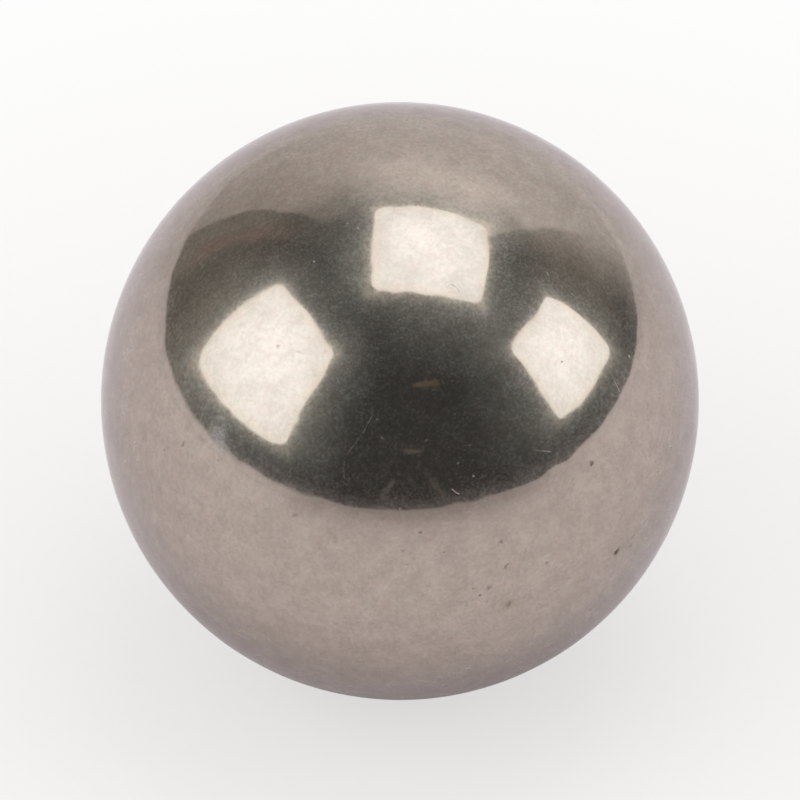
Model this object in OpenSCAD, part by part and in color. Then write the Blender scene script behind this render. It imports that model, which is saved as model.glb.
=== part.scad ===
// Solid steel ball: one piece, a true sphere with no hole, flat or seam.
// Millimetres, +Z up, origin at the centre of the ball.

/* [Ball] */
// Diameter of the ball
ball_d = 25.4; // [3:0.1:100]

/* [Hidden] */
// Sides of the preview around the ball's equator
round_sides = 128;
// Bright steel with a slightly warm tone
steel_colour = [0.72, 0.68, 0.64];

// The ball, ground and polished all over
module ball() {
    color(steel_colour)
        sphere(d = ball_d, $fn = round_sides);
}

ball();
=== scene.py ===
"""Polished steel ball with the pits, scratches and specks of long handling.

Run as a script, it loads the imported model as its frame, builds the ball's surface
in place of the plain solid, and sets it on a pale table under three light boxes.
"""

import math
from typing import NamedTuple

import bmesh
import bpy
import numpy as np
from mathutils import Matrix, Vector


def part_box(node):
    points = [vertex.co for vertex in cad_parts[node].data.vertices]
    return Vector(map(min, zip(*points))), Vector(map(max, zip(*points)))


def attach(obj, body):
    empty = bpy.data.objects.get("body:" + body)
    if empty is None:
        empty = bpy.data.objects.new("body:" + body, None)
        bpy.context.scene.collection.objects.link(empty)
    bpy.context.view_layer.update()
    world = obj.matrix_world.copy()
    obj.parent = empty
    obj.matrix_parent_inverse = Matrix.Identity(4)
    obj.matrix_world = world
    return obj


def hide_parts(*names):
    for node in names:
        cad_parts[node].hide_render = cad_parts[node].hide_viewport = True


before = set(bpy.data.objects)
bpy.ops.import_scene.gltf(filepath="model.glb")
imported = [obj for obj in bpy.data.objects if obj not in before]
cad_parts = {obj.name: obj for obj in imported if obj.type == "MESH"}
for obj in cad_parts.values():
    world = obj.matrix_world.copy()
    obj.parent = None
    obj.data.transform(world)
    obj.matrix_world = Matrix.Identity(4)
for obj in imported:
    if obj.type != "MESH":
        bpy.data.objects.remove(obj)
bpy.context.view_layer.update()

bl_info = {
    "name": "Steel Ball",
    "version": (1, 0, 0),
    "blender": (4, 5, 0),
    "location": "3D View > Sidebar > Steel Ball",
    "description": "Builds a polished steel ball with fine wear, on a plain studio table",
    "category": "Object",
}

MM = 0.001
BALL_LOW, BALL_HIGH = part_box("ball")
BALL_DIAMETER = BALL_HIGH.z - BALL_LOW.z


# ---------------------------------------------------------------- wear on the ball


class Mark(NamedTuple):
    """One blemish: its place on the ball in degrees, and its size in millimetres."""

    azimuth: float  # degrees round from the front, positive to the right
    elevation: float  # degrees above the equator
    length: float  # millimetres along its run
    width: float  # millimetres across its run
    turn: float = 0.0  # degrees that its run is turned anticlockwise from level
    bend: float = 0.0  # millimetres that its middle bows to the left of its run
    strength: float = 1.0  # how strongly it shows


# Small dark pits with dirt and painted shade in them; the weak ones are shallow and hold little of
# either
PITS = (
    Mark(46, -3.5, 0.44, 0.32, 50, strength=0.95),
    Mark(20.4, 5, 0.24, 0.16, 65, strength=0.55),
    Mark(29, 3, 0.17, 0.14, 80, strength=0.6),
    Mark(19.8, 11, 0.24, 0.18, 60, strength=0.4),
    Mark(17, 1, 0.28, 0.22, 60, strength=0.45),
    Mark(14, 1.5, 0.16, 0.12, strength=0.4),
    Mark(21, -4.5, 0.34, 0.24, 50, strength=0.35),
    Mark(41.5, -17, 0.24, 0.15, 45, strength=0.5),
    Mark(44, -17, 0.14, 0.12, strength=0.3),
    Mark(10.5, -32, 0.34, 0.12, 60, strength=0.5),
    Mark(4, 15.5, 0.18, 0.13, strength=0.4),
    Mark(0.5, 11.5, 0.17, 0.13, strength=0.3),
    Mark(-21, 16.5, 0.30, 0.14, 30, strength=0.3),
    Mark(-49.5, 20, 0.34, 0.14, 80, strength=0.5),
    Mark(-35.5, 46.5, 0.20, 0.16, 30, strength=0.35),
    Mark(-29, 47, 0.36, 0.08, 2, strength=0.25),
    Mark(42, 19.8, 0.26, 0.20, 40, strength=0.6),
    Mark(50.5, -2.5, 0.30, 0.12, 20, strength=0.3),
    Mark(50, -4.5, 0.22, 0.18, strength=0.3),
    Mark(-110, 12, 0.22, 0.14, 70, strength=0.6),
    Mark(-150, -22, 0.20, 0.14, 10, strength=0.5),
    Mark(165, 5, 0.30, 0.10, 130, strength=0.5),
    Mark(118, 34, 0.20, 0.15, 40, strength=0.5),
    Mark(140, -30, 0.26, 0.17, 160, strength=0.8),
    Mark(-75, -35, 0.18, 0.14, 100, strength=0.5),
)

# Fine scratches that catch the light
SCRATCHES = (
    Mark(31.5, 26.5, 1.10, 0.06, -26, strength=0.35),
    Mark(11.5, 23, 0.50, 0.09, -42, bend=-0.05, strength=0.6),
    Mark(55.5, 29.5, 0.66, 0.06, -87),
    Mark(21.5, 61, 0.70, 0.09, -61, bend=0.12, strength=0.22),
    Mark(-95, 25, 1.30, 0.06, 35, bend=0.10, strength=0.7),
    Mark(-128, -8, 0.80, 0.06, -50, strength=0.7),
    Mark(172, 40, 1.10, 0.06, 15, bend=-0.08, strength=0.7),
    Mark(128, 8, 0.90, 0.06, 70, strength=0.7),
    Mark(95, -25, 0.70, 0.06, -20, strength=0.6),
)

# Specks of dust, paler than the dark parts of what the steel mirrors
SPECKS = (
    Mark(15.5, 25.5, 0.14, 0.12, strength=0.45),
    Mark(12.5, 28.5, 0.13, 0.11, strength=0.30),
    Mark(6, 33.5, 0.17, 0.12, 60, strength=0.25),
    Mark(-4, 34, 0.19, 0.11, -30, strength=0.22),
    Mark(-5.5, 37.5, 0.12, 0.10, strength=0.2),
    Mark(15.5, 31.5, 0.12, 0.10, strength=0.2),
    Mark(-40, 64, 0.12, 0.10, strength=0.7),
    Mark(-30, 74, 0.12, 0.10, strength=0.5),
    Mark(63, 32, 0.18, 0.11, 90, strength=0.9),
    Mark(58, 55, 0.22, 0.08, 70, strength=0.4),
    Mark(-120, 38, 0.12, 0.10, strength=0.7),
    Mark(150, 20, 0.14, 0.10, strength=0.6),
    Mark(-165, 12, 0.12, 0.10, strength=0.6),
)

# Thin fibres of lint that cling to the surface
FIBRES = (
    Mark(-7.5, 36.2, 1.10, 0.06, 67, bend=0.03, strength=0.28),
    Mark(-10.3, 31.9, 1.15, 0.06, 58, bend=0.03, strength=0.28),
    Mark(-11.7, 27.3, 1.10, 0.06, 96, bend=0.04, strength=0.28),
    Mark(-10.8, 24.0, 0.60, 0.06, -62, bend=-0.03, strength=0.24),
    Mark(-160, 30, 2.60, 0.05, 20, bend=-0.20, strength=0.40),
)

# Soft brown stains and dull smudges
STAINS = (
    Mark(37, 3.5, 0.90, 0.50, 80, strength=0.6),
    Mark(37, -5.5, 0.90, 0.45, 10, strength=0.8),
    Mark(46, -4, 1.00, 0.70, 50, strength=0.3),
    Mark(21, -4.5, 0.90, 0.80, 20, strength=0.9),
    Mark(7.5, -4.5, 1.00, 0.40, 40, strength=0.5),
    Mark(5.5, -12.5, 0.70, 0.30, 30, strength=0.5),
    Mark(-13, 13.5, 0.70, 0.32, 110, strength=0.9),
    Mark(-15.5, 11, 0.50, 0.30, 60, strength=0.5),
    Mark(-50, 23.5, 0.70, 0.30, 70, strength=0.5),
    Mark(-8, 8, 0.50, 0.30, strength=0.4),
    Mark(-10, 4, 0.60, 0.40, 30, strength=0.5),
    Mark(-3, -2.5, 0.70, 0.20, 50, strength=0.6),
    Mark(-48, -2, 0.60, 0.40, strength=0.4),
    Mark(12, 15.5, 0.50, 0.30, strength=0.4),
    Mark(-31, 39, 0.80, 0.55, 60, strength=0.3),
    Mark(-140, 10, 1.20, 0.60, 20, strength=0.6),
    Mark(160, -12, 0.90, 0.70, 70, strength=0.6),
    Mark(110, -28, 1.00, 0.60, 120, strength=0.5),
    Mark(-100, -18, 0.80, 0.50, 30, strength=0.5),
)

# Bluish grey smears of dried oil
SMEARS = (
    Mark(-41.4, 26, 1.40, 1.10, -40),
    Mark(-42.7, 28.6, 0.80, 0.55, 50, strength=0.7),
    Mark(-39.5, 24.6, 1.20, 0.50, -30, strength=0.5),
    Mark(100, 12, 1.60, 0.60, 30, strength=0.6),
)


def local_frame(azimuth, elevation):
    """Outward, rightward and upward directions at a place on a sphere, angles in degrees."""
    a = math.radians(azimuth)
    e = math.radians(elevation)
    outward = Vector((math.sin(a) * math.cos(e), -math.cos(a) * math.cos(e), math.sin(e)))
    right = Vector((math.cos(a), math.sin(a), 0.0))
    upward = outward.cross(right)
    return outward, right, upward


def smooth_step(value, low, high):
    """0 at low, 1 at high and an even ease between; high may be the smaller number."""
    share = np.clip((value - low) / (high - low), 0.0, 1.0)
    return share * share * (3.0 - 2.0 * share)


def mark_places(mark, directions, radius_mm):
    """Where each direction lies in a mark's own frame: millimetres along and across its run."""
    outward, right, upward = (np.array(v) for v in local_frame(mark.azimuth, mark.elevation))
    turn = math.radians(mark.turn)
    run = math.cos(turn) * right + math.sin(turn) * upward
    side = np.cross(outward, run)
    along = radius_mm * np.arctan2(directions @ run, directions @ outward)
    across = radius_mm * np.arcsin(np.clip(directions @ side, -1.0, 1.0))
    bow = mark.bend * np.clip(1.0 - (2.0 * along / mark.length) ** 2, -1.0, 1.0)
    return along, across - bow


def mark_distance(mark, directions, radius_mm):
    """Millimetres from each direction to the nearest edge of a mark, 0 inside it."""
    along, across = mark_places(mark, directions, radius_mm)
    beyond = np.maximum(np.abs(along) - mark.length / 2.0, 0.0)
    beside = np.maximum(np.abs(across) - mark.width / 2.0, 0.0)
    return np.hypot(beyond, beside)


def patch_cover(mark, directions, radius_mm, inner, outer):
    """1 in the middle of a rounded patch, 0 outside it, with a slightly uneven edge.

    Inner and outer are shares of its half length and half width, where it starts and ends to fade.
    """
    along, across = mark_places(mark, directions, radius_mm)
    angle = np.arctan2(across / mark.width, along / mark.length)
    edge = 1.0 + 0.14 * np.sin(3.0 * angle + mark.azimuth) + 0.08 * np.sin(5.0 * angle + mark.turn)
    reach = np.hypot(2.0 * along / mark.length, 2.0 * across / mark.width) / edge
    return smooth_step(reach, outer, inner)


def scratch_cover(mark, directions, radius_mm):
    """1 on the line of a scratch, falling evenly to 0 at its sides and tapering at its ends."""
    along, across = mark_places(mark, directions, radius_mm)
    sides = np.clip(1.0 - np.abs(2.0 * across / mark.width), 0.0, 1.0)
    ends = smooth_step(np.abs(2.0 * along / mark.length), 1.0, 0.6)
    return sides * ends


def cover(marks, shape, directions):
    """The strongest cover that a set of marks gives in each direction."""
    total = np.zeros(len(directions))
    for mark in marks:
        total = np.maximum(total, mark.strength * shape(mark, directions))
    return total


# ---------------------------------------------------------------- the ball's mesh


MASKS = ("pits", "scratches", "specks", "stains", "smears")
RIPPLE_SHORTEST = 1.0  # millimetres
RIPPLE_LONGEST = 5.0
SLOPE_STEP = 0.003  # millimetres to each side, over which a slope is taken


class BallShape:
    """The relief of the ball's surface, in millimetres above a true sphere."""

    def __init__(self, settings):
        self.radius = settings.diameter / 2.0 / MM
        self.pit_depth = settings.pit_depth / MM
        self.scratch_slope = math.tan(settings.scratch_angle)
        self.waves = self.ripple_waves(settings)

    def ripple_waves(self, settings):
        """Directions, phases and heights of the long, faint waves left by grinding."""
        rng = np.random.default_rng(settings.seed)
        count = settings.ripple_waves
        heading = rng.normal(size=(count, 3))
        heading /= np.linalg.norm(heading, axis=1)[:, None]
        length = np.exp(rng.uniform(math.log(RIPPLE_SHORTEST), math.log(RIPPLE_LONGEST), count))
        slope = settings.ripple_slope * math.sqrt(2.0 / count)
        height = slope * length / math.tau
        phase = rng.uniform(0.0, math.tau, count)
        return heading * (math.tau / length)[:, None], phase, height

    def pits(self, directions):
        """How far each direction lies inside a pit, 0 to 1."""
        return cover(PITS, self.pit_cover, directions)

    def pit_cover(self, mark, directions):
        outer = 1.70 - 0.45 * mark.strength
        return patch_cover(mark, directions, self.radius, inner=0.20, outer=outer)

    def hollows(self, directions):
        """Share of the full pit depth in each direction; weak pits are nearly flat."""
        return cover(PITS, lambda m, d: m.strength**2 * self.pit_cover(m, d), directions)

    def patches(self, marks, directions, inner, outer):
        """How far each direction lies inside one of a set of rounded patches, 0 to 1."""
        return cover(marks, lambda m, d: patch_cover(m, d, self.radius, inner, outer), directions)

    def scratches(self, directions):
        """How far each direction lies inside a scratch, 0 to 1."""
        return cover(SCRATCHES, lambda m, d: scratch_cover(m, d, self.radius), directions)

    def specks(self, directions):
        """How far each direction lies inside a speck of dust or a fibre, 0 to 1."""
        dots = self.patches(SPECKS, directions, inner=0.6, outer=1.1)
        lines = cover(FIBRES, lambda m, d: scratch_cover(m, d, self.radius), directions)
        return np.maximum(dots, lines)

    def stains(self, directions):
        """How far each direction lies inside a stain, 0 to 1."""
        return self.patches(STAINS, directions, inner=0.1, outer=1.3)

    def smears(self, directions):
        """How far each direction lies inside a smear of oil, 0 to 1."""
        return self.patches(SMEARS, directions, inner=0.3, outer=1.2)

    def height(self, directions):
        """Millimetres above the true sphere."""
        heading, phase, height = self.waves
        ripple = np.zeros(len(directions))
        for k in range(len(height)):
            ripple += height[k] * np.sin(directions @ heading[k] * self.radius + phase[k])
        groove = cover(SCRATCHES, self.groove_depth, directions)
        return ripple - self.pit_depth * self.hollows(directions) - groove

    def groove_depth(self, mark, directions):
        """Depth of a scratch, from its width and the slope of its sides."""
        return self.scratch_slope * mark.width / 2.0 * scratch_cover(mark, directions, self.radius)

    def points(self, directions):
        """Surface points in the given directions, in millimetres."""
        return directions * (self.radius + self.height(directions))[:, None]

    def normals(self, directions):
        """Exact surface normals in the given directions, from the slope of the relief."""
        step = SLOPE_STEP / self.radius
        pole = np.where(np.abs(directions[:, 2:]) < 0.9, [[0.0, 0.0, 1.0]], [[1.0, 0.0, 0.0]])
        first = np.cross(pole, directions)
        first /= np.linalg.norm(first, axis=1)[:, None]
        second = np.cross(directions, first)
        slopes = []
        for tangent in (first, second):
            ahead = directions + step * tangent
            behind = directions - step * tangent
            ahead /= np.linalg.norm(ahead, axis=1)[:, None]
            behind /= np.linalg.norm(behind, axis=1)[:, None]
            slopes.append(self.points(ahead) - self.points(behind))
        normal = np.cross(slopes[0], slopes[1])
        return normal / np.linalg.norm(normal, axis=1)[:, None]


def cube_directions(flat):
    """Directions from the ball's centre for points on a cube from -1 to 1, evenly spread."""
    bowed = np.tan(flat * (math.pi / 4.0))
    return bowed / np.linalg.norm(bowed, axis=1)[:, None]


def refine_near_marks(bm, marks, cell, radius_mm, finest, cells_across=7.0, margin_cells=1.6):
    """Halves the cells near each mark until enough of them lie across its width."""
    while cell > finest:
        bm.faces.ensure_lookup_table()
        centres = np.array([face.calc_center_median() for face in bm.faces])
        directions = cube_directions(centres)
        chosen = np.zeros(len(directions), bool)
        for mark in marks:
            if cell > mark.width / cells_across:
                chosen |= mark_distance(mark, directions, radius_mm) < margin_cells * cell
        faces = [bm.faces[k] for k in np.flatnonzero(chosen)]
        edges = {edge for face in faces for edge in face.edges}
        bmesh.ops.subdivide_edges(bm, edges=list(edges), cuts=1, use_grid_fill=True)
        cell /= 2.0


def unwrap(mesh, flat, margin=0.01):
    """Lays the six sides of the cube out three by two, for textures that are baked."""
    corner_vertex = np.zeros(len(mesh.loops), int)
    mesh.loops.foreach_get("vertex_index", corner_vertex)
    corners = np.zeros(len(mesh.polygons), int)
    mesh.polygons.foreach_get("loop_total", corners)
    owner = np.repeat(np.arange(len(corners)), corners)
    middle = np.zeros((len(corners), 3))
    np.add.at(middle, owner, flat[corner_vertex])
    axis = np.argmax(np.abs(middle), axis=1)
    above = middle[np.arange(len(middle)), axis] > 0
    place = flat[corner_vertex]
    first = place[np.arange(len(owner)), (axis[owner] + 1) % 3]
    second = place[np.arange(len(owner)), (axis[owner] + 2) % 3]
    span = 1.0 - 2.0 * margin
    u = (axis[owner] + margin + span * (first + 1.0) / 2.0) / 3.0
    v = (above[owner] + margin + span * (second + 1.0) / 2.0) / 2.0
    layer = mesh.uv_layers.new(name="OFBake")
    layer.data.foreach_set("uv", np.column_stack((u, v)).ravel())


def ball_mesh(settings):
    """The ball's surface: cube sides bowed onto a sphere, with relief and wear cut in."""
    shape = BallShape(settings)
    bm = bmesh.new()
    bmesh.ops.create_cube(bm, size=2.0)
    cuts = settings.side_cells - 1
    bmesh.ops.subdivide_edges(bm, edges=bm.edges[:], cuts=cuts, use_grid_fill=True)
    cell = shape.radius * math.pi / 2.0 / settings.side_cells
    marks = PITS + SCRATCHES + SPECKS + FIBRES
    refine_near_marks(bm, marks, cell, shape.radius, settings.finest_cell / MM)
    mesh = bpy.data.meshes.new("steel_ball")
    bm.to_mesh(mesh)
    bm.free()

    flat = np.zeros(len(mesh.vertices) * 3)
    mesh.vertices.foreach_get("co", flat)
    flat = flat.reshape(-1, 3)
    unwrap(mesh, flat)
    directions = cube_directions(flat)
    mesh.vertices.foreach_set("co", (shape.points(directions) * MM).ravel())
    for name in MASKS:
        values = getattr(shape, name)(directions)
        layer = mesh.attributes.new(name, "FLOAT", "POINT")
        layer.data.foreach_set("value", values.astype(np.float32))
    mesh.shade_smooth()
    mesh.normals_split_custom_set_from_vertices(shape.normals(directions))
    mesh.update()
    return mesh


# ---------------------------------------------------------------- shader nodes


class Signal:
    """A shader socket that can be added, subtracted, multiplied and divided like a number."""

    def __init__(self, graph, socket):
        self.graph = graph
        self.socket = socket

    def math(self, operation, first, second):
        sockets = {"Value": first, "Value_001": second}
        return self.graph.add("ShaderNodeMath", {"operation": operation}, sockets, "Value")

    def __add__(self, other):
        return self.math("ADD", self, other)

    def __radd__(self, other):
        return self.math("ADD", other, self)

    def __sub__(self, other):
        return self.math("SUBTRACT", self, other)

    def __rsub__(self, other):
        return self.math("SUBTRACT", other, self)

    def __mul__(self, other):
        return self.math("MULTIPLY", self, other)

    def __rmul__(self, other):
        return self.math("MULTIPLY", other, self)

    def __truediv__(self, other):
        return self.math("DIVIDE", self, other)


class Graph:
    """The nodes of one material or world, made and joined in code."""

    def __init__(self, tree):
        self.tree = tree
        tree.nodes.clear()

    @staticmethod
    def find(sockets, name):
        """A node's socket by its identifier, or by its name."""
        for socket in sockets:
            if socket.identifier == name:
                return socket
        return sockets[name]

    def add(self, kind, settings=None, sockets=None, output=None):
        """Adds a node, sets it up, fills or links its sockets, and returns one of its outputs."""
        node = self.tree.nodes.new(kind)
        for name, value in (settings or {}).items():
            setattr(node, name, value)
        for name, value in (sockets or {}).items():
            socket = self.find(node.inputs, name)
            if isinstance(value, Signal):
                self.tree.links.new(value.socket, socket)
            else:
                socket.default_value = value
        if output is None:
            return node
        return Signal(self, self.find(node.outputs, output))

    def position_mm(self):
        """The place on the object, in millimetres."""
        place = self.add("ShaderNodeTexCoord", output="Object")
        sockets = {"Vector": place, "Scale": 1.0 / MM}
        return self.add("ShaderNodeVectorMath", {"operation": "SCALE"}, sockets, "Vector")

    def axis(self, vector, name):
        """The X, Y or Z of a vector."""
        return self.add("ShaderNodeSeparateXYZ", {}, {"Vector": vector}, name)

    def positive(self, vector):
        """A vector whose X, Y and Z have lost their signs."""
        sockets = {"Vector": vector}
        return self.add("ShaderNodeVectorMath", {"operation": "ABSOLUTE"}, sockets, "Vector")

    def length(self, vector):
        """The length of a vector."""
        sockets = {"Vector": vector}
        return self.add("ShaderNodeVectorMath", {"operation": "LENGTH"}, sockets, "Value")

    def noise(self, place, size, detail=2.0, roughness=0.5):
        """Soft noise from 0 to 1 whose lumps are about the given size."""
        sockets = {"Vector": place, "Scale": 1.0 / size, "Detail": detail, "Roughness": roughness}
        return self.add("ShaderNodeTexNoise", {}, sockets, "Fac")

    def ease(self, value, low, high):
        """0 at low, 1 at high and an even ease between."""
        settings = {"interpolation_type": "SMOOTHSTEP"}
        sockets = {"Value": value, "From Min": low, "From Max": high}
        return self.add("ShaderNodeMapRange", settings, sockets, "Result")

    def band(self, value, start, full, fading=None, end=None):
        """0 at start and 1 at full, and where they are given, 1 at fading and 0 at end."""
        rise = self.ease(value, start, full)
        if end is None:
            return rise
        return rise * self.ease(value, end, fading)

    def blend(self, share, first, second):
        """The first colour where share is 0 and the second where it is 1."""
        settings = {"data_type": "RGBA", "clamp_factor": True}
        sockets = {"Factor_Float": share, "A_Color": first, "B_Color": second}
        return self.add("ShaderNodeMix", settings, sockets, "Result_Color")

    def brighten(self, colour, amount):
        """A colour multiplied by a number."""
        sockets = {"Vector": colour, "Scale": amount}
        return self.add("ShaderNodeVectorMath", {"operation": "SCALE"}, sockets, "Vector")

    def attribute(self, name):
        """A mask that the mesh holds."""
        return self.add("ShaderNodeAttribute", {"attribute_name": name}, {}, "Fac")

    def light_path(self, *rays):
        """1 for the named kinds of ray and 0 for the rest."""
        total = self.add("ShaderNodeLightPath", output=rays[0])
        for ray in rays[1:]:
            total = total + self.add("ShaderNodeLightPath", output=ray)
        return total


WHITE = (1.0, 1.0, 1.0, 1.0)


def rgba(colour, alpha=1.0):
    """A colour property as four numbers."""
    return (*colour, alpha)


def rectangle(x, y, z):
    """Corners of a level rectangle at height z that reaches x and y to each side of its middle."""
    return [(-x, -y, z), (x, -y, z), (x, y, z), (-x, y, z)]


def flat_mesh(name, corners):
    """One flat face with the given corners."""
    mesh = bpy.data.meshes.new(name)
    mesh.from_pydata(corners, [], [tuple(range(len(corners)))])
    return mesh


# ---------------------------------------------------------------- the ball's material

# Sizes of the unevenness in the finish, in millimetres
PATCH_SIZE = 4.0
RIPPLE_SIZE = 1.4
CLOUD_SIZE = 0.9
TINT_SIZE = 0.50
LUMP_SIZE = 0.19
GRAIN_SIZE = 0.11
SPECKLE_SIZE = 0.06
DUST_SPACING = 0.45
DUST_RADIUS = 0.10
GRIT_SPACING = 1.1
GRIT_RADIUS = 0.09

# How fast the dust thickens to the right, to the back and upwards, for each millimetre
DUST_SLOPE = (0.045, -0.045, -0.035)


class Wear(NamedTuple):
    """What one kind of wear does to the steel where it lies thickest."""

    colour: float  # share of its own colour that shows
    cover: float  # share of the mirror that it hides
    rough: float  # roughness that it adds


STAIN = Wear(0.45, 0.12, 0.10)
SMEAR = Wear(0.35, 0.35, 0.12)
DUST = Wear(0.50, 0.25, 0.35)
SPECK = Wear(0.60, 1.0, 0.30)
GRIT = Wear(0.55, 0.0, 0.50)
# Pits take the dirt colour, which there also stands in as painted shade in their hollows
PIT = Wear(0.90, 0.0, 0.50)
SCRATCH = Wear(0.0, 0.0, 0.12)


def scattered_dots(graph, place, spacing, radius, share):
    """A mask of small round dots, at most one to a cell; share is how many cells hold one."""
    sockets = {"Vector": place, "Scale": 1.0 / spacing}
    distance = graph.add("ShaderNodeTexVoronoi", {}, sockets, "Distance")
    colour = graph.add("ShaderNodeTexVoronoi", {}, sockets, "Color")
    chance = graph.add("ShaderNodeSeparateColor", {}, {"Color": colour}, "Red")
    size = graph.add("ShaderNodeSeparateColor", {}, {"Color": colour}, "Green")
    reach = (0.4 + 0.6 * size) * (radius / spacing)
    dot = graph.ease(distance, reach, reach * 0.4)
    held = graph.ease(chance, share, share - 0.02)
    return dot * held


def steel_colours(graph, settings, clouds, lumps):
    """The steel's own colour, with faint tints, mottling and speckles."""
    place = graph.position_mm()
    red, green, blue = settings.steel_colour
    cooler = rgba((0.99 * red, 1.01 * green, blue))
    warmer = rgba((1.01 * red, 0.99 * green, blue))
    tint = graph.noise(place, TINT_SIZE, 2.0)
    steel = graph.blend(graph.ease(tint, 0.35, 0.65), cooler, warmer)
    mottle = 0.6 * clouds + 0.4 * lumps
    speckle = graph.ease(graph.noise(place, SPECKLE_SIZE, 1.0), 0.55, 0.80)
    return graph.brighten(steel, 0.82 + 0.17 * graph.ease(mottle, 0.30, 0.70) - 0.09 * speckle)


def steel_material(settings):
    """Polished steel: a clear mirror with a haze of fine grain, dust, stains and dirty pits."""
    material = bpy.data.materials.new("polished_steel")
    material.use_nodes = True
    graph = Graph(material.node_tree)
    place = graph.position_mm()

    # The mirror is a little hazier in some patches, under a thin uneven film of fine dust
    patches = graph.noise(place, PATCH_SIZE, 3.0)
    clouds = graph.noise(place, CLOUD_SIZE, 4.0, 0.6)
    lumps = graph.noise(place, LUMP_SIZE, 1.0)
    grain = graph.noise(place, GRAIN_SIZE, 2.0)
    hazy = graph.ease(0.5 * lumps + 0.5 * patches, 0.35, 0.65)
    film = graph.ease(grain + 0.25 * (lumps - 0.5), 0.36, 0.74)
    film = film * (0.7 + 0.6 * graph.ease(clouds, 0.32, 0.68))

    # Dust lies more thickly low on the right of the front
    sockets = {"Vector": place, "Vector_001": DUST_SLOPE}
    side = graph.add("ShaderNodeVectorMath", {"operation": "DOT_PRODUCT"}, sockets, "Value")
    density = graph.ease(side + 0.5 * patches, 0.2, 1.2)
    dust = scattered_dots(graph, place, DUST_SPACING, DUST_RADIUS, 0.01 + 0.14 * density)
    grit = scattered_dots(graph, place, GRIT_SPACING, GRIT_RADIUS, 0.10 + 0.35 * density)
    pits, scratches, specks, stains, smears = (graph.attribute(name) for name in MASKS)

    base = steel_colours(graph, settings, clouds, lumps)
    base = graph.blend(STAIN.colour * stains, base, rgba(settings.stain_colour))
    base = graph.blend(SMEAR.colour * smears, base, rgba(settings.smear_colour))
    base = graph.blend(DUST.colour * dust + SPECK.colour * specks, base, rgba(settings.dust_colour))
    # Painted shade in the pits, together with their dirt and the grit, darkens the steel here
    base = graph.blend(PIT.colour * pits + GRIT.colour * grit, base, rgba(settings.dirt_and_pit_shade_colour))

    hidden = settings.film_share * film + DUST.cover * dust + SPECK.cover * specks
    hidden = hidden + SMEAR.cover * smears + STAIN.cover * stains
    metal = 1.0 - graph.ease(hidden, 0.0, 1.0)

    rough = settings.polish + (settings.haze - settings.polish) * hazy
    rough = rough + DUST.rough * dust + SPECK.rough * specks + PIT.rough * pits
    rough = rough + SCRATCH.rough * scratches + SMEAR.rough * smears + STAIN.rough * stains
    rough = rough + GRIT.rough * grit

    height = graph.noise(place, RIPPLE_SIZE, 1.0) - 0.3 * grit
    sockets = {"Height": height, "Distance": settings.ripple_height, "Strength": 1.0}
    normal = graph.add("ShaderNodeBump", {}, sockets, "Normal")

    sockets = {
        "Base Color": base,
        "Metallic": metal,
        "Roughness": rough,
        "Normal": normal,
        "Specular Tint": rgba(settings.rim_tint),
        "Coat Weight": settings.bloom_share * film,
        "Coat Roughness": settings.bloom,
        "Coat IOR": settings.bloom_index,
    }
    shader = graph.add("ShaderNodeBsdfPrincipled", {}, sockets, "BSDF")
    graph.add("ShaderNodeOutputMaterial", {}, {"Surface": shader})
    return material


# ---------------------------------------------------------------- settings


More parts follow.
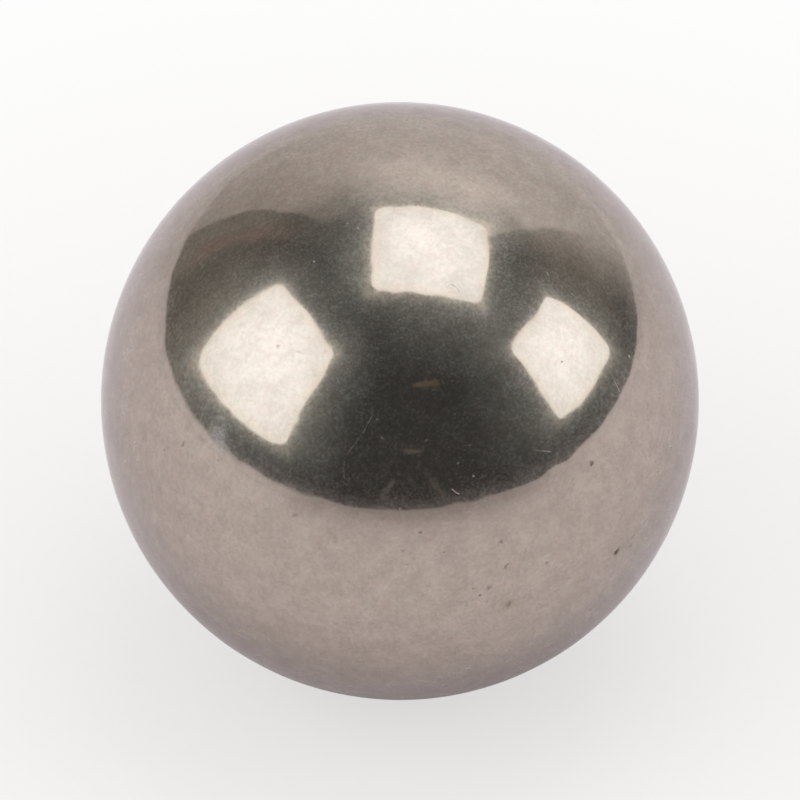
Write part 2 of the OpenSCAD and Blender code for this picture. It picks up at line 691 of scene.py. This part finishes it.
class SteelBallSettings(bpy.types.PropertyGroup):
    """Sizes and colours of the ball."""

    diameter: bpy.props.FloatProperty(
        name="Diameter", description="Across the ball", default=BALL_DIAMETER,
        min=0.003, max=0.1, unit="LENGTH", precision=5,
    )
    side_cells: bpy.props.IntProperty(
        name="Cells a side", description="Cells along each of the six sides before the wear is cut",
        default=92, min=8, max=160,
    )
    finest_cell: bpy.props.FloatProperty(
        name="Finest cell", description="Smallest cell that is cut near a pit or a scratch",
        default=0.00002, min=0.000005, unit="LENGTH", precision=6,
    )
    seed: bpy.props.IntProperty(
        name="Seed", description="Starts the random grinding waves", default=7,
    )
    ripple_waves: bpy.props.IntProperty(
        name="Grinding waves", description="How many faint waves cross the surface", default=60,
        min=1, max=200,
    )
    ripple_slope: bpy.props.FloatProperty(
        name="Wave slope", description="Typical tilt that the grinding waves give the surface",
        default=math.radians(0.30), min=0.0, max=0.1, subtype="ANGLE", precision=4,
    )
    ripple_height: bpy.props.FloatProperty(
        name="Fine ripple", description="Height of the finest ripple, which is shading only",
        default=0.000009, min=0.0, unit="LENGTH", precision=7,
    )
    film_share: bpy.props.FloatProperty(
        name="Film", description="Share of the mirror that a thick film of dust hides",
        default=0.09, min=0.0, max=1.0, subtype="FACTOR",
    )
    bloom_share: bpy.props.FloatProperty(
        name="Bloom", description="How strongly the film of dust scatters the lamps",
        default=0.52, min=0.0, max=1.0, subtype="FACTOR",
    )
    bloom: bpy.props.FloatProperty(
        name="Bloom roughness", description="How widely the film of dust spreads their light",
        default=0.34, min=0.0, max=1.0, subtype="FACTOR",
    )
    bloom_index: bpy.props.FloatProperty(
        name="Bloom index", description="Refractive index of the film of dust", default=2.2,
        min=1.0, max=4.0,
    )
    pit_depth: bpy.props.FloatProperty(
        name="Pit depth", description="Depth of the deepest pit", default=0.00006, min=0.0,
        unit="LENGTH", precision=6,
    )
    scratch_angle: bpy.props.FloatProperty(
        name="Scratch slope", description="Slope of the sides of a scratch",
        default=math.radians(15.0), min=0.0, max=1.0, subtype="ANGLE",
    )
    steel_colour: bpy.props.FloatVectorProperty(
        name="Steel", description="Colour that the polished steel mirrors with",
        default=(0.507, 0.433, 0.390), subtype="COLOR", min=0.0, max=1.0,
    )
    rim_tint: bpy.props.FloatVectorProperty(
        name="Rim tint", description="Colour of the mirror at grazing angles",
        default=(0.86, 0.85, 0.91), subtype="COLOR", min=0.0, max=1.0,
    )
    stain_colour: bpy.props.FloatVectorProperty(
        name="Stain", description="Brown of the old stains", default=(0.30, 0.21, 0.15),
        subtype="COLOR", min=0.0, max=1.0,
    )
    smear_colour: bpy.props.FloatVectorProperty(
        name="Smear", description="Bluish grey of the dried oil", default=(0.36, 0.40, 0.44),
        subtype="COLOR", min=0.0, max=1.0,
    )
    dust_colour: bpy.props.FloatVectorProperty(
        name="Dust", description="Colour of the dust", default=(0.30, 0.27, 0.25),
        subtype="COLOR", min=0.0, max=1.0,
    )
    # Colour of the dirt in the pits and the grit; in the pits it is also painted shade in their
    # hollows
    dirt_and_pit_shade_colour: bpy.props.FloatVectorProperty(
        name="Dirt", description="Colour of the dirt in the pits", default=(0.060, 0.048, 0.040),
        subtype="COLOR", min=0.0, max=1.0,
    )
    polish: bpy.props.FloatProperty(
        name="Polish", description="Roughness of the clear steel", default=0.045, min=0.0, max=1.0,
        subtype="FACTOR",
    )
    haze: bpy.props.FloatProperty(
        name="Haze", description="Roughness of the hazy grains", default=0.09, min=0.0, max=1.0,
        subtype="FACTOR",
    )


class SteelBallStage(bpy.types.PropertyGroup):
    """Table, lights, room and camera."""

    table_colour: bpy.props.FloatVectorProperty(
        name="Table", description="Colour of the table", default=(0.91, 0.85, 0.84),
        subtype="COLOR", min=0.0, max=1.0,
    )
    shadow_share: bpy.props.FloatProperty(
        name="Shadow", description="How much of the ball's shadow shows on the table",
        default=0.4, min=0.0, max=1.0, subtype="FACTOR",
    )
    table_half: bpy.props.FloatProperty(
        name="Table reach", description="Half the side of the table", default=2.5, min=0.1,
        unit="LENGTH",
    )
    box_colour: bpy.props.FloatVectorProperty(
        name="Light box", description="Colour of the light boxes", default=(0.95, 1.0, 0.99),
        subtype="COLOR", min=0.0, max=1.0,
    )
    edge_colour: bpy.props.FloatVectorProperty(
        name="Light box edge", description="Colour of the rim of a light box",
        default=(0.95, 0.955, 0.85), subtype="COLOR", min=0.0, max=1.0,
    )
    box_strength: bpy.props.FloatProperty(
        name="Light box strength", description="Brightness of the light boxes", default=2.06,
        min=0.0,
    )
    fill_strength: bpy.props.FloatProperty(
        name="Fill", description="Even light from all round", default=0.66, min=0.0,
    )
    spill_colour: bpy.props.FloatVectorProperty(
        name="Spill", description="Colour of the soft light that spills round the light boxes",
        default=(0.91, 1.0, 0.94), subtype="COLOR", min=0.0, max=1.0,
    )
    spill_strength: bpy.props.FloatProperty(
        name="Spill strength", description="Brightness of the spill at the edge of a light box",
        default=0.86, min=0.0,
    )
    spill_near: bpy.props.FloatProperty(
        name="Spill, near", description="How fast the bright part of the spill dies away",
        default=0.0097, min=0.001, unit="LENGTH", precision=4,
    )
    spill_far: bpy.props.FloatProperty(
        name="Spill, far", description="How fast the faint part of the spill dies away",
        default=0.056, min=0.001, unit="LENGTH", precision=4,
    )
    room_radius: bpy.props.FloatProperty(
        name="Room", description="Distance of the walls that the ball mirrors", default=0.85,
        min=0.1, unit="LENGTH",
    )
    room_colour: bpy.props.FloatVectorProperty(
        name="Dark room", description="Colour of the unlit room", default=(0.069, 0.073, 0.070),
        subtype="COLOR", min=0.0, max=1.0,
    )
    low_colour: bpy.props.FloatVectorProperty(
        name="Dark room, low", description="Colour of the unlit room near the table",
        default=(0.155, 0.150, 0.145), subtype="COLOR", min=0.0, max=1.0,
    )
    brown_colour: bpy.props.FloatVectorProperty(
        name="Side walls", description="Colour of the walls beside the backdrop",
        default=(0.330, 0.317, 0.274), subtype="COLOR", min=0.0, max=1.0,
    )
    red_colour: bpy.props.FloatVectorProperty(
        name="Red strip", description="Colour of the strip on the left wall",
        default=(0.33, 0.21, 0.195), subtype="COLOR", min=0.0, max=1.0,
    )
    # Painted shade: the far table glows this dull colour in the mirror, where the lamps' light
    # falls off
    front_shade_colour: bpy.props.FloatVectorProperty(
        name="Table, front", description="Colour that the far table takes on in front",
        default=(0.31, 0.30, 0.29), subtype="COLOR", min=0.0, max=1.0,
    )
    # Painted light: the far table glows this pale colour at the sides in the mirror, where the
    # lamps light it more
    side_light_colour: bpy.props.FloatVectorProperty(
        name="Table, sides", description="Colour that the far table takes on at the sides",
        default=(0.93, 0.90, 0.88), subtype="COLOR", min=0.0, max=1.0,
    )
    paper_colour: bpy.props.FloatVectorProperty(
        name="Backdrop", description="Colour of the lit paper behind the ball",
        default=(0.83, 0.81, 0.765), subtype="COLOR", min=0.0, max=1.0,
    )
    view_height: bpy.props.FloatProperty(
        name="View angle", description="Angle at which the camera looks down",
        default=math.radians(41.0), subtype="ANGLE",
    )
    lens: bpy.props.FloatProperty(
        name="Lens", description="Focal length", default=600.0, min=10.0, unit="CAMERA",
    )
    ball_share: bpy.props.FloatProperty(
        name="Ball in view", description="Share of the picture's width that the ball fills",
        default=0.7475, min=0.05, max=0.95, subtype="FACTOR",
    )
    shift: bpy.props.FloatProperty(
        name="Rise", description="How far the picture is shifted upwards, in picture widths",
        default=0.0013, min=-0.5, max=0.5,
    )


# ---------------------------------------------------------------- the stage


def emission_material(name, build, lamp=True):
    """A material that only glows, with the colour that build makes from its graph."""
    material = bpy.data.materials.new(name)
    material.use_nodes = True
    graph = Graph(material.node_tree)
    sockets = {"Color": build(graph), "Strength": 1.0}
    shader = graph.add("ShaderNodeEmission", {}, sockets, "Emission")
    graph.add("ShaderNodeOutputMaterial", {}, {"Surface": shader})
    if not lamp:
        not_a_lamp(material)
    return material


def not_a_lamp(material):
    """Keeps the renderer from aiming light samples at a faint glow, which only adds noise."""
    material.cycles.emission_sampling = "NONE"


def stage_object(name, mesh, material):
    """An object that belongs to the stage and not to the part."""
    mesh.materials.append(material)
    piece = bpy.data.objects.new(name, mesh)
    bpy.context.scene.collection.objects.link(piece)
    return piece


def mirrored_only(piece):
    """Shows an object in mirror reflections and nowhere else."""
    piece.visible_camera = False
    piece.visible_diffuse = False
    piece.visible_shadow = False
    piece.visible_volume_scatter = False


PAPER_LIGHT = (-50.0, 6.0)  # degrees round from straight behind the ball
PAPER_SHADE = 0.43  # how much darker the left end is


def paper_glow(graph, stage, round_back):
    """Colour of the lit paper, with painted shade that makes it darker and warmer on the left.

    Round_back is in degrees from straight behind the ball.
    """
    red, green, blue = stage.paper_colour
    warm = rgba((1.01 * red, 0.975 * green, 0.94 * blue))
    light = graph.ease(round_back, *PAPER_LIGHT)
    colour = graph.blend(light, warm, rgba(stage.paper_colour))
    return graph.brighten(colour, 1.0 - PAPER_SHADE * (1.0 - light))


def angle_behind(graph, place):
    """Degrees round from straight behind the ball, positive to the right."""
    x = graph.axis(place, "X")
    return (180.0 / math.pi) * x.math("ARCTAN2", x, graph.axis(place, "Y"))


TABLE_GRAIN = 0.7  # millimetres

# Fades on the table, each from where it is 0 to where it is 1
SHADOW_FADE = (18.0, 60.0)  # millimetres from the ball
FAR_FADE = (45.0, 220.0)
BEHIND_FROM_LEFT = (-60.0, -38.0)  # degrees round from straight behind the ball
BEHIND_FROM_RIGHT = (66.0, 44.0)
LEFT_SIDE = (-0.25, -0.85)  # X or Y over the distance
RIGHT_SIDE = (0.65, 0.97)
FRONT_SIDE = (-0.5, -0.9)

# How strongly the far table's painted shade shows in front and its painted light at the sides
FRONT_SHARE = 0.38
SIDE_SHARE = 0.52

# The paper's light turns this much more slowly where it falls on the table
PAPER_ON_TABLE = 0.4


def table_material(stage):
    """Matt white table that turns into a plain white background away from the ball; far off, the
    mirror sees it glow with painted light and shade.
    """
    material = bpy.data.materials.new("table")
    material.use_nodes = True
    graph = Graph(material.node_tree)
    place = graph.position_mm()
    darker = rgba([0.97 * c for c in stage.table_colour])
    colour = graph.blend(graph.noise(place, TABLE_GRAIN, 3.0), darker, rgba(stage.table_colour))
    matt = graph.add("ShaderNodeBsdfDiffuse", {}, {"Color": colour}, "BSDF")
    white = graph.add("ShaderNodeEmission", {}, {"Color": WHITE, "Strength": 1.0}, "Emission")
    away = graph.length(place)
    shadow = stage.shadow_share * (1.0 - graph.ease(away, *SHADOW_FADE))
    to_camera = graph.light_path("Is Camera Ray") * (1.0 - shadow)

    # Far off, the mirror shows the table rising into the paper, pale at the sides with painted
    # light and dull in front with painted shade
    round_back = angle_behind(graph, place)
    behind = graph.ease(round_back, *BEHIND_FROM_LEFT) * graph.ease(round_back, *BEHIND_FROM_RIGHT)
    side = graph.axis(place, "X") / away
    aside = graph.ease(side, *LEFT_SIDE) + graph.ease(side, *RIGHT_SIDE)
    ahead = graph.ease(graph.axis(place, "Y") / away, *FRONT_SIDE)
    colour = graph.blend(aside, rgba(stage.front_shade_colour), rgba(stage.side_light_colour))
    colour = graph.blend(behind, colour, paper_glow(graph, stage, PAPER_ON_TABLE * round_back))
    # The far table's glow is painted light and shade that only the mirror sees
    far = graph.add("ShaderNodeEmission", {}, {"Color": colour, "Strength": 1.0}, "Emission")
    sweep = behind + (1.0 - behind) * (FRONT_SHARE * ahead + SIDE_SHARE * aside)
    sweep = sweep * graph.ease(away, *FAR_FADE)
    to_mirror = graph.light_path("Is Glossy Ray", "Is Transmission Ray")
    sockets = {"Fac": to_mirror * sweep, "Shader": matt, "Shader_001": far}
    mirrored = graph.add("ShaderNodeMixShader", {}, sockets, "Shader")
    sockets = {"Fac": to_camera, "Shader": mirrored, "Shader_001": white}
    shader = graph.add("ShaderNodeMixShader", {}, sockets, "Shader")
    graph.add("ShaderNodeOutputMaterial", {}, {"Surface": shader})
    not_a_lamp(material)
    return material


def make_table(stage):
    """The flat table that the ball stands on."""
    mesh = flat_mesh("table", rectangle(stage.table_half, stage.table_half, BALL_LOW.z))
    stage_object("table", mesh, table_material(stage))


class LightBox(NamedTuple):
    """A light box: where it hangs, seen from the ball, and which way its face looks."""

    name: str
    width: float  # metres
    height: float
    distance: float  # metres from the ball to the middle of the face
    azimuth: float  # degrees round from the front
    elevation: float  # degrees above the table
    face_azimuth: float  # degrees, the side of the ball that the face lies parallel to
    face_elevation: float
    turn: float  # degrees that the face is turned anticlockwise, seen from behind it
    spill: float  # how strongly light spills round it
    shade: float  # where the shade below it starts, in widths from its middle towards the front


LIGHT_BOXES = (
    LightBox("left_light", 0.241, 0.237, 0.283, -71.9, 36.9, -65.0, 13.6, 1.35, 0.97, -0.2),
    LightBox("right_light", 0.162, 0.163, 0.268, 83.6, 28.7, 68.3, 4.6, -1.5, 0.76, -0.5),
    LightBox("top_light", 0.181, 0.181, 0.257, 137.9, 73.5, -2.0, 87.8, 0.0, 1.06, -0.2),
)


def light_box_place(box):
    """Where a light box stands: its own X and Y run along its face and its Z points away."""
    centre = local_frame(box.azimuth, box.elevation)[0] * box.distance
    outward, level, upright = local_frame(box.face_azimuth, box.face_elevation)
    turn = math.radians(box.turn)
    across = math.cos(turn) * level + math.sin(turn) * upright
    along = math.cos(turn) * upright - math.sin(turn) * level
    return Matrix.Translation(centre) @ Matrix((across, along, outward)).transposed().to_4x4()


def light_box_mesh(box, corner_share=0.065, bow=0.052, steps=8):
    """A flat face with slightly rounded corners and edges that bow outwards a little."""
    half = Vector((box.width / 2.0, box.height / 2.0))
    corner = box.width * corner_share
    outline = []
    for quarter, side in enumerate(((1.0, 1.0), (-1.0, 1.0), (-1.0, -1.0), (1.0, -1.0))):
        middle = Vector((side[0] * (half.x - corner), side[1] * (half.y - corner)))
        for step in range(steps + 1):
            angle = math.pi / 2.0 * (quarter + step / steps)
            outline.append(middle + corner * Vector((math.cos(angle), math.sin(angle))))

        # The straight edge to the next corner runs along X and Y by turns
        start = outline[-1]
        end = start.copy()
        end[quarter % 2] = -middle[quarter % 2]
        outline += [start.lerp(end, step / steps) for step in range(1, steps)]
    corners = []
    for point in outline:
        x = point.x * (1.0 - bow * (point.y / half.y) ** 2)
        y = point.y * (1.0 - bow * (point.x / half.x) ** 2)
        corners.append((x, y, 0.0))
    return flat_mesh(box.name, corners)


def light_box_glow(stage, box, rim=0.14, rim_share=0.55, dimming=0.18):
    """Returns the colour of a light box, which weakens outwards and turns warm at its rim."""

    def build(graph):
        place = graph.add("ShaderNodeTexCoord", output="Object")
        fall = graph.ease(graph.length(place), 0.0, 0.7 * box.width)
        place = graph.positive(place)
        across = graph.ease(graph.axis(place, "X"), (0.5 - rim) * box.width, 0.5 * box.width)
        up = graph.ease(graph.axis(place, "Y"), (0.5 - rim) * box.height, 0.5 * box.height)
        edge = across.math("MAXIMUM", across, up)
        colour = graph.blend(rim_share * edge, rgba(stage.box_colour), rgba(stage.edge_colour))
        return graph.brighten(colour, stage.box_strength * (1.05 - dimming * fall))

    return build


SPILL_REACH = 0.20  # metres that the spill's sheet reaches past a light box
SPILL_SETBACK = 0.001  # metres that the sheet hangs behind the face
SPILL_GRAIN = 0.0045  # metres
SPILL_WARM_EDGE = 0.018  # metres over which the spill turns from the edge's colour to its own
SPILL_NEAR_SHARE = 0.42
SPILL_FAR_SHARE = 0.38


def spill_mesh(box):
    """A flat sheet just behind a light box that reaches past its edges."""
    half_width = box.width / 2.0 + SPILL_REACH
    half_height = box.height / 2.0 + SPILL_REACH
    return flat_mesh(box.name + "_spill", rectangle(half_width, half_height, SPILL_SETBACK))


def spill_shade(graph, box, local, start=0.3, past=0.03, spread=0.7):
    """A soft shade in the spill, 0 to 1, below a light box on the side towards the front.

    It starts at a share of the box's height below its middle, is full a little past its lower edge,
    and spreads over a share of its width.
    """
    low = graph.ease(graph.axis(local, "Y"), -start * box.height, -0.5 * box.height - past)
    inward = graph.axis(local, "X") * math.copysign(1.0, -box.azimuth)
    return low * graph.ease(inward, box.shade * box.width, (box.shade + spread) * box.width)


def spill_material(stage, box):
    """Clear sheet with a glow that dies away from the edge of the light box."""
    material = bpy.data.materials.new(box.name + "_spill")
    material.use_nodes = True
    graph = Graph(material.node_tree)
    local = graph.add("ShaderNodeTexCoord", output="Object")
    sockets = {
        "Vector": graph.positive(local),
        "Vector_001": (box.width / 2.0, box.height / 2.0, 1.0),
    }
    place = graph.add("ShaderNodeVectorMath", {"operation": "SUBTRACT"}, sockets, "Vector")
    place = graph.add("ShaderNodeVectorMath", {"operation": "MAXIMUM"}, {"Vector": place}, "Vector")
    away = graph.length(place)
    near = away * (-1.0 / stage.spill_near)
    far = away * (-1.0 / stage.spill_far)
    glow = SPILL_NEAR_SHARE * near.math("EXPONENT", near, 0.0)
    glow = glow + SPILL_FAR_SHARE * far.math("EXPONENT", far, 0.0)
    glow = glow * graph.ease(away, SPILL_REACH, 0.5 * SPILL_REACH)
    glow = glow * (0.72 + 0.56 * graph.ease(graph.noise(local, SPILL_GRAIN, 2.0), 0.25, 0.75))
    glow = box.spill * stage.spill_strength * glow * (1.0 - 0.5 * spill_shade(graph, box, local))
    warm = graph.ease(away, 0.0, SPILL_WARM_EDGE)
    colour = graph.blend(warm, rgba(stage.edge_colour), rgba(stage.spill_colour))
    sockets = {"Color": graph.brighten(colour, glow), "Strength": 1.0}
    light = graph.add("ShaderNodeEmission", {}, sockets, "Emission")
    clear = graph.add("ShaderNodeBsdfTransparent", output="BSDF")
    shader = graph.add("ShaderNodeAddShader", {}, {"Shader": light, "Shader_001": clear}, "Shader")
    graph.add("ShaderNodeOutputMaterial", {}, {"Surface": shader})
    not_a_lamp(material)
    return material


def make_lights(stage):
    """The three light boxes, each with the soft glow round it that the ball mirrors."""
    for box in LIGHT_BOXES:
        place = light_box_place(box)
        material = emission_material(box.name, light_box_glow(stage, box))
        face = stage_object(box.name, light_box_mesh(box), material)
        face.matrix_world = place
        face.visible_camera = False
        spill = stage_object(box.name + "_spill", spill_mesh(box), spill_material(stage, box))
        spill.matrix_world = place
        mirrored_only(spill)


class Region(NamedTuple):
    """A part of the room that fades in, and out again where four angles are given."""

    share: float  # how strongly it shows
    turns: tuple  # degrees round from straight behind the ball, positive to the right
    heights: tuple  # degrees above the ball


# The paper hangs behind the ball. Its right edge leans outwards and is lost in a glow low down.
PAPER_LEFT = (-41.0, -39.8)
PAPER_RIGHT = (44.0, 42.0)
PAPER_LEAN = 0.16  # degrees outwards for each degree up
PAPER_GLOW = Region(0.35, (66.0, 36.0), (8.0, 30.0))
PAPER_DIM_CORNER = Region(0.40, (26.0, 48.0), (34.0, 42.0))
PAPER_DIM_FOOT = Region(0.15, (18.0, 42.0), (26.0, 8.0))
PAPER_RIGHT_HALF = (-28.0, 2.0)
PAPER_TOP_LEFT = (64.0, 34.0)
PAPER_TOP_RIGHT = (64.0, 46.0)
# A band of painted light on the right half of the paper
PAPER_LIT_BAND = Region(0.20, (46.0, 30.0), (27.0, 38.0, 41.0, 50.0))

# Brown walls beside it fade into the dark room
LEFT_WALL = (
    Region(0.34, (-56.0, -50.0), (68.0, 22.0)),
    Region(0.51, (-104.0, -70.0), (68.0, 22.0)),
)
RIGHT_WALL = (
    Region(0.42, (98.0, 76.0), (2.0, 18.0, 28.0, 52.0)),
    Region(0.30, (74.0, 52.0), (52.0, 28.0)),
)
RED_STRIP = Region(0.38, (-55.0, -51.0, -50.0, -46.0), (2.0, 14.0, 34.0, 52.0))
LOW_ROOM = (6.0, -1.0)

# On the left the table ends a little higher
LIP_SIDE = (-0.40, -0.75)  # X over the distance
LIP_HEIGHT = (0.2, -0.3)
LIP_SHADE = 0.7


def room_glow(stage):
    """Returns the colour of the room by its direction from the ball."""

    def build(graph):
        place = graph.add("ShaderNodeTexCoord", output="Object")
        round_back = angle_behind(graph, place)
        away = graph.length(place)
        rise = graph.axis(place, "Z") / away
        above = (180.0 / math.pi) * rise.math("ARCSINE", rise, 0.0)

        def region(part):
            turns = graph.band(round_back, *part.turns)
            return part.share * turns * graph.band(above, *part.heights)

        left_edge = graph.ease(round_back, *PAPER_LEFT)
        right_edge = graph.ease(round_back - PAPER_LEAN * above, *PAPER_RIGHT)
        right_glow = graph.ease(round_back, *PAPER_GLOW.turns) - region(PAPER_GLOW)
        right = right_glow + right_edge * (1.0 - right_glow)
        right = right * (1.0 - region(PAPER_DIM_CORNER)) * (1.0 - region(PAPER_DIM_FOOT))
        side = graph.ease(round_back, *PAPER_RIGHT_HALF)
        top = side * graph.ease(above, *PAPER_TOP_RIGHT)
        top = top + (1.0 - side) * graph.ease(above, *PAPER_TOP_LEFT)
        # The right half of the paper is brightened by a band of painted light
        pale = graph.brighten(paper_glow(graph, stage, round_back), 1.0 + side * region(PAPER_LIT_BAND))

        left_wall = (region(LEFT_WALL[0]) + region(LEFT_WALL[1])) * (1.0 - left_edge)
        right_wall = (region(RIGHT_WALL[0]) + region(RIGHT_WALL[1])) * (1.0 - right_edge)
        low = graph.ease(above, *LOW_ROOM)
        colour = graph.blend(low, rgba(stage.room_colour), rgba(stage.low_colour))
        colour = graph.blend(left_wall + right_wall, colour, rgba(stage.brown_colour))
        colour = graph.blend(region(RED_STRIP), colour, rgba(stage.red_colour))
        colour = graph.blend(left_edge * right * top, colour, pale)

        lip = graph.ease(graph.axis(place, "X") / away, *LIP_SIDE) * (1.0 - left_edge)
        lip = lip * graph.ease(above, *LIP_HEIGHT)
        return graph.blend(lip, colour, rgba([LIP_SHADE * c for c in stage.side_light_colour]))

    return build


def make_room(stage, rings=24, sides=72):
    """A dome round the table that only the ball's mirror shows: dark room and pale backdrop."""
    lowest = math.asin(BALL_LOW.z / stage.room_radius)
    points = []
    faces = []
    for ring in range(rings):
        height = lowest + (math.pi / 2.0 - lowest) * ring / rings
        for side in range(sides):
            turn = math.tau * side / sides
            flat = stage.room_radius * math.cos(height)
            high = stage.room_radius * math.sin(height)
            points.append((flat * math.cos(turn), flat * math.sin(turn), high))
    points.append((0.0, 0.0, stage.room_radius))
    for ring in range(rings):
        for side in range(sides):
            this = ring * sides + side
            that = ring * sides + (side + 1) % sides
            if ring == rings - 1:
                faces.append((this, that, len(points) - 1))
            else:
                faces.append((this, that, that + sides, this + sides))
    mesh = bpy.data.meshes.new("room")
    mesh.from_pydata(points, [], faces)
    room = stage_object("room", mesh, emission_material("room", room_glow(stage), lamp=False))
    mirrored_only(room)


class Card(NamedTuple):
    """A pale thing in the dark room that the front of the ball mirrors."""

    name: str
    azimuth: float  # degrees round from the front
    elevation: float  # degrees above the ball's middle
    width: float  # degrees, seen from the ball
    height: float
    turn: float  # degrees anticlockwise, seen from the ball
    colour: tuple


CARDS = (
    Card("shelf_edge", 15.0, 46.5, 9.0, 1.8, -4.0, (0.18, 0.15, 0.11)),
    Card("rail", 4.7, 22.4, 5.5, 1.1, 0.0, (0.19, 0.18, 0.15)),
    Card("left_leg", -4.5, 7.7, 9.0, 2.0, 54.0, (0.14, 0.138, 0.125)),
    Card("right_leg", 13.0, 6.9, 8.5, 1.8, -62.0, (0.14, 0.133, 0.115)),
)


def make_cards(stage, share=0.7):
    """Small glowing cards inside the dome; share is their distance over the dome's."""
    radius = share * stage.room_radius
    for card in CARDS:
        outward, level, upright = local_frame(card.azimuth, card.elevation)
        turn = math.radians(card.turn)
        along = math.cos(turn) * level + math.sin(turn) * upright
        across = math.cos(turn) * upright - math.sin(turn) * level
        along *= radius * math.tan(math.radians(card.width / 2.0))
        across *= radius * math.tan(math.radians(card.height / 2.0))
        centre = outward * radius
        low = centre - across
        high = centre + across
        mesh = flat_mesh(card.name, [low - along, low + along, high + along, high - along])
        colour = rgba(card.colour)
        material = emission_material(card.name, lambda graph, colour=colour: colour, lamp=False)
        mirrored_only(stage_object(card.name, mesh, material))


def make_world(stage):
    """White where it is looked at, and a low even light everywhere else."""
    world = bpy.data.worlds.new("studio")
    world.use_nodes = True
    graph = Graph(world.node_tree)
    sockets = {"Color": WHITE, "Strength": stage.fill_strength}
    fill = graph.add("ShaderNodeBackground", {}, sockets, "Background")
    white = graph.add("ShaderNodeBackground", {}, {"Color": WHITE, "Strength": 1.0}, "Background")
    seen = graph.light_path("Is Camera Ray", "Is Glossy Ray", "Is Transmission Ray")
    sockets = {"Fac": seen, "Shader": fill, "Shader_001": white}
    shader = graph.add("ShaderNodeMixShader", {}, sockets, "Shader")
    graph.add("ShaderNodeOutputWorld", {}, {"Surface": shader})
    bpy.context.scene.world = world


def make_camera(stage, diameter):
    """A long lens that looks down at the ball from the front."""
    data = bpy.data.cameras.new("camera")
    data.lens = stage.lens
    data.clip_start = 0.01
    data.clip_end = 10.0
    data.shift_y = stage.shift
    half_angle = math.atan(stage.ball_share * data.sensor_width / 2.0 / stage.lens)
    distance = diameter / 2.0 / math.sin(half_angle)
    outward = local_frame(0.0, math.degrees(stage.view_height))[0]
    camera = bpy.data.objects.new("camera", data)
    camera.location = (BALL_LOW + BALL_HIGH) / 2.0 + outward * distance
    camera.rotation_mode = "QUATERNION"
    camera.rotation_quaternion = (-outward).to_track_quat("-Z", "Y")
    bpy.context.scene.collection.objects.link(camera)
    bpy.context.scene.camera = camera


# ---------------------------------------------------------------- operators and panel


class STEELBALL_OT_ball(bpy.types.Operator):
    """Build the ball with its worn, polished surface"""

    bl_idname = "steel_ball.build_ball"
    bl_label = "Build Ball"

    def execute(self, context):
        settings = context.scene.steel_ball
        mesh = ball_mesh(settings)
        mesh.materials.append(steel_material(settings))
        ball = bpy.data.objects.new("steel_ball", mesh)
        context.scene.collection.objects.link(ball)
        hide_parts("ball")
        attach(ball, "root")
        return {"FINISHED"}


class STEELBALL_OT_stage(bpy.types.Operator):
    """Set the table, lights, room and camera"""

    bl_idname = "steel_ball.build_stage"
    bl_label = "Build Stage"

    def execute(self, context):
        stage = context.scene.steel_ball_stage
        context.scene.view_settings.view_transform = "Standard"
        make_table(stage)
        make_lights(stage)
        make_room(stage)
        make_cards(stage)
        make_world(stage)
        make_camera(stage, context.scene.steel_ball.diameter)
        return {"FINISHED"}


class STEELBALL_PT_panel(bpy.types.Panel):
    """Lists the steps that build the ball and its stage"""

    bl_idname = "STEELBALL_PT_panel"
    bl_label = "Steel Ball"
    bl_space_type = "VIEW_3D"
    bl_region_type = "UI"
    bl_category = "Steel Ball"

    def draw(self, context):
        layout = self.layout
        layout.operator(STEELBALL_OT_ball.bl_idname)
        layout.operator(STEELBALL_OT_stage.bl_idname)
        for group in (context.scene.steel_ball, context.scene.steel_ball_stage):
            column = layout.column()
            for name in group.__annotations__:
                column.prop(group, name)


CLASSES = (
    SteelBallSettings,
    SteelBallStage,
    STEELBALL_OT_ball,
    STEELBALL_OT_stage,
    STEELBALL_PT_panel,
)


def register():
    for cls in CLASSES:
        bpy.utils.register_class(cls)
    bpy.types.Scene.steel_ball = bpy.props.PointerProperty(type=SteelBallSettings)
    bpy.types.Scene.steel_ball_stage = bpy.props.PointerProperty(type=SteelBallStage)


def unregister():
    del bpy.types.Scene.steel_ball_stage
    del bpy.types.Scene.steel_ball
    for cls in reversed(CLASSES):
        bpy.utils.unregister_class(cls)


def main():
    register()
    bpy.ops.steel_ball.build_ball()
    bpy.ops.steel_ball.build_stage()


if __name__ == "__main__":
    main()
